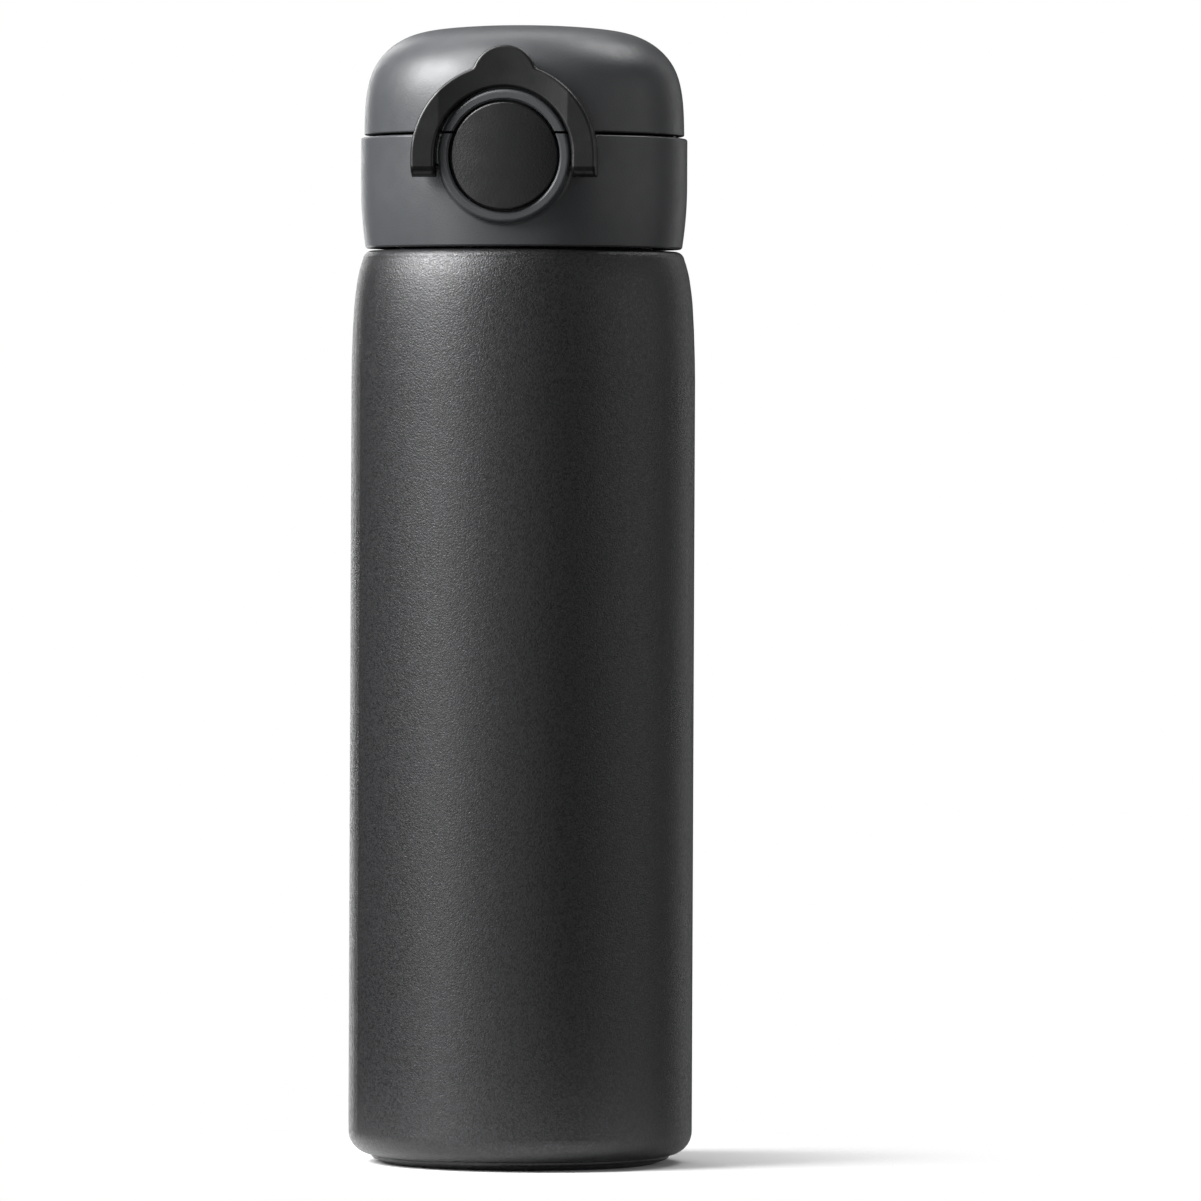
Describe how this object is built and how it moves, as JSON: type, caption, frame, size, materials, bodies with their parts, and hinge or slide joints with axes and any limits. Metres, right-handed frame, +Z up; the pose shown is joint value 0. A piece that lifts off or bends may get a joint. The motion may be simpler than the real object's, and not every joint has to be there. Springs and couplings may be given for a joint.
{
  "type": "vacuum flask",
  "caption": "Slim vacuum flask with a screw-on cap, a flip-up lid opened by a round push button, and a flip-down safety ring over the button.",
  "frame": {"origin": "centre of the base, on the plane the flask stands on", "axes": "+Z up along the bottle's axis, -Y towards the push button (front), +Y towards the lid's hinge, +X to the right as seen from the front"},
  "size_m": [0.066, 0.0681, 0.218],
  "materials": {
    "body_paint": "matte black powder coat with a fine metallic grain",
    "steel": "brushed stainless steel",
    "spring_steel": "bright drawn wire",
    "copper_foil": "bright thin copper foil",
    "getter_alloy": "dull grey pressed powder",
    "glass_solder": "dark glassy solder",
    "grey_plastic": "fine matte dark grey plastic",
    "charcoal_plastic": "satin charcoal plastic",
    "inner_plastic": "plain dark grey food-safe plastic",
    "silicone": "translucent grey-white silicone",
    "foot_paint": "matte black coating"
  },
  "bodies": {
    "flask": {"outer_shell": "body_paint", "inner_vessel": "steel", "reflective_foil": "copper_foil", "base_plate": "steel", "getter_holder": "steel", "getter": "getter_alloy", "seal_bead": "glass_solder", "base_cover": "foot_paint"},
    "cap_lift": {"mouth_seal": "silicone"},
    "cap": {"collar_shell": "grey_plastic", "thread_sleeve": "inner_plastic", "spout": "inner_plastic", "hinge_pin": "steel", "hinge_spring": "spring_steel", "button_spring": "spring_steel"},
    "lid": {"lid_shell": "grey_plastic", "lid_liner": "inner_plastic", "stopper_holder": "inner_plastic", "stopper_seal": "silicone"},
    "button": {"button_cap": "charcoal_plastic", "latch_hook": "inner_plastic"},
    "lock": {"lock_ring": "charcoal_plastic"}
  },
  "joints": [
    {"name": "cap_lift", "type": "slide", "parent": "flask", "child": "cap_lift", "axis": [0, 0, 1], "range_m": [0, 0.0122]},
    {"name": "cap_unscrew", "type": "hinge", "parent": "cap_lift", "child": "cap", "pos_m": [0, 0, 0.18], "axis": [0, 0, 1], "range_deg": [0, 720]},
    {"name": "lid_hinge", "type": "hinge", "parent": "cap", "child": "lid", "pos_m": [0, 0.0312, 0.1967], "axis": [-1, 0, 0], "range_deg": [0, 130], "deforming": ["hinge_spring"]},
    {"name": "button_press", "type": "slide", "parent": "cap", "child": "button", "axis": [0, 1, 0], "range_m": [0, 0.0018], "stiffness_N_per_m": 600, "springref_m": -0.002, "deforming": ["button_spring"]},
    {"name": "lock_flip", "type": "hinge", "parent": "cap", "child": "lock", "pos_m": [0, -0.0306, 0.1902], "axis": [1, 0, 0], "range_deg": [0, 95]}
  ],
  "couplings": [
    {"joint": "cap_lift", "follows": "cap_unscrew", "m_per_rad": 0.00095493}
  ]
}
